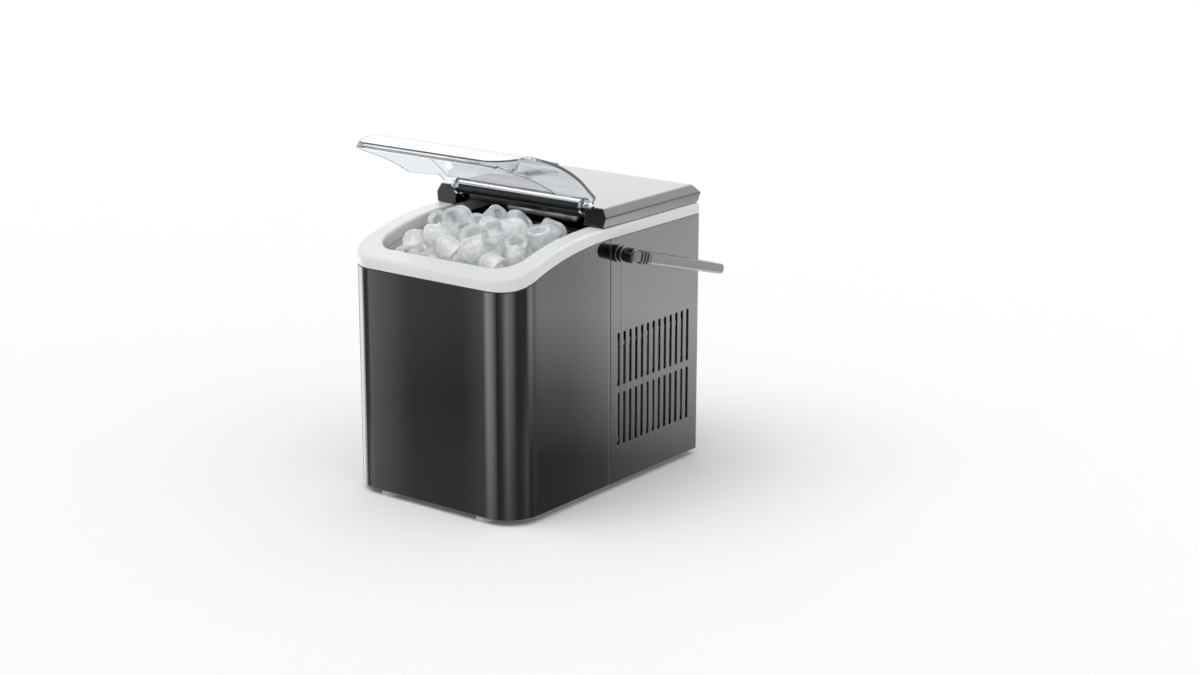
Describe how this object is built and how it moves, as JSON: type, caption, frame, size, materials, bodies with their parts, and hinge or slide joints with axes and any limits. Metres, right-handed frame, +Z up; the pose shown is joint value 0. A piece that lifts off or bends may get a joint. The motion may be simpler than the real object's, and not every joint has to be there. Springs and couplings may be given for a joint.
{
  "type": "ice maker",
  "caption": "Countertop ice maker: swept white rim over a gloss black body, clear hinged lid, ice basket in its bin, side vents and a fold-back carrying handle.",
  "frame": {"origin": "middle of the footprint of the whole machine, with its lid part open and its handle folded back, on the surface that the feet stand on", "axes": "+Z up, -Y is the front where the ice bin is, +X is the machine's own left as it faces forward, across the lid's hinge"},
  "size_m": [0.267, 0.3336, 0.3658],
  "materials": {
    "gloss_black_plastic": "high-gloss moulded ABS",
    "satin_black_plastic": "satin moulded ABS",
    "black_enamelled_steel": "black enamel on pressed steel",
    "white_plastic": "semi-gloss moulded white plastic",
    "bin_plastic": "satin light grey plastic",
    "clear_plastic": "clear polished plastic",
    "grey_plastic": "satin grey plastic",
    "white_foam": "expanded bead foam",
    "black_rubber": "moulded rubber",
    "frosted_rubber": "translucent moulded rubber",
    "copper_pipe": "drawn copper",
    "zinc_plated_steel": "zinc plate",
    "nickel_plate": "nickel plate on copper",
    "aluminium_fins": "mill finish",
    "circuit_board": "solder mask",
    "lens_plastic": "diffused clear plastic",
    "silicone_hose": "translucent silicone"
  },
  "bodies": {
    "body": {"front_shell": "gloss_black_plastic", "rear_shell": "gloss_black_plastic", "top_cover": "gloss_black_plastic", "control_panel": "gloss_black_plastic", "base_pan": "satin_black_plastic", "hinge_beam": "satin_black_plastic", "fan_shroud": "satin_black_plastic", "water_pump": "satin_black_plastic", "drain_spout": "satin_black_plastic", "power_inlet": "satin_black_plastic", "ice_sensor_left": "satin_black_plastic", "ice_sensor_right": "satin_black_plastic", "handle_pivot_left": "satin_black_plastic", "handle_pivot_right": "satin_black_plastic", "compressor": "black_enamelled_steel", "rim": "white_plastic", "bin_liner": "bin_plastic", "insulation_jacket": "white_foam", "foot_front_left": "frosted_rubber", "foot_front_right": "frosted_rubber", "foot_rear_left": "frosted_rubber", "foot_rear_right": "frosted_rubber", "compressor_mount_1": "black_rubber", "compressor_mount_2": "black_rubber", "compressor_mount_3": "black_rubber", "discharge_line": "copper_pipe", "liquid_line": "copper_pipe", "filter_drier": "copper_pipe", "capillary_line": "copper_pipe", "suction_line": "copper_pipe", "rear_screw_left": "zinc_plated_steel", "rear_screw_right": "zinc_plated_steel", "hinge_pin_left": "zinc_plated_steel", "hinge_pin_right": "zinc_plated_steel", "evaporator_bracket": "zinc_plated_steel", "tray_motor": "zinc_plated_steel", "fan_motor": "zinc_plated_steel", "evaporator": "nickel_plate", "condenser": "aluminium_fins", "control_board": "circuit_board", "indicator_lens_1": "lens_plastic", "indicator_lens_2": "lens_plastic", "indicator_lens_3": "lens_plastic", "water_hose": "silicone_hose", "drain_hose": "silicone_hose"},
    "lid": {"lid": "clear_plastic"},
    "handle": {"handle_knuckle_left": "satin_black_plastic", "handle_knuckle_right": "satin_black_plastic", "handle_arm_left": "grey_plastic", "handle_arm_right": "grey_plastic", "handle_grip": "grey_plastic"},
    "basket": {"basket": "white_plastic"},
    "tray": {"water_tray": "satin_black_plastic", "tray_shaft": "zinc_plated_steel"},
    "shovel": {"ice_shovel": "satin_black_plastic"},
    "fan": {"fan": "satin_black_plastic"},
    "power_key": {"power_button": "satin_black_plastic"},
    "select_key": {"select_button": "satin_black_plastic"},
    "plug": {"drain_plug": "black_rubber"}
  },
  "joints": [
    {"name": "lid_hinge", "type": "hinge", "parent": "body", "child": "lid", "pos_m": [0, -0.01263, 0.297], "axis": [-1, 0, 0], "range_deg": [-41, 45]},
    {"name": "handle_hinge", "type": "hinge", "parent": "body", "child": "handle", "pos_m": [0, 0.00737, 0.249], "axis": [1, 0, 0], "range_deg": [0, 105.5]},
    {"name": "basket_lift", "type": "slide", "parent": "body", "child": "basket", "axis": [0, 0, 1], "range_m": [0, 0.032]},
    {"name": "tray_tilt", "type": "hinge", "parent": "body", "child": "tray", "pos_m": [0, 0.07637, 0.23], "axis": [1, 0, 0], "range_deg": [0, 22]},
    {"name": "shovel_swing", "type": "hinge", "parent": "body", "child": "shovel", "pos_m": [0, 0.00337, 0.264], "axis": [-1, 0, 0], "range_deg": [0, 22]},
    {"name": "fan_spin", "type": "hinge", "parent": "body", "child": "fan", "pos_m": [0.0706, 0.07037, 0.095], "axis": [1, 0, 0], "continuous": true},
    {"name": "power_press", "type": "slide", "parent": "body", "child": "power_key", "axis": [0, 0, 1], "range_m": [-0.0012, 0], "stiffness_N_per_m": 400, "springref_m": 0.001},
    {"name": "select_press", "type": "slide", "parent": "body", "child": "select_key", "axis": [0, 0, 1], "range_m": [-0.0012, 0], "stiffness_N_per_m": 400, "springref_m": 0.001},
    {"name": "drain_pull", "type": "slide", "parent": "body", "child": "plug", "axis": [-1, 0, 0], "range_m": [0, 0.02]}
  ],
  "couplings": [
    {"joint": "shovel_swing", "follows": "tray_tilt", "ratio": 1}
  ]
}
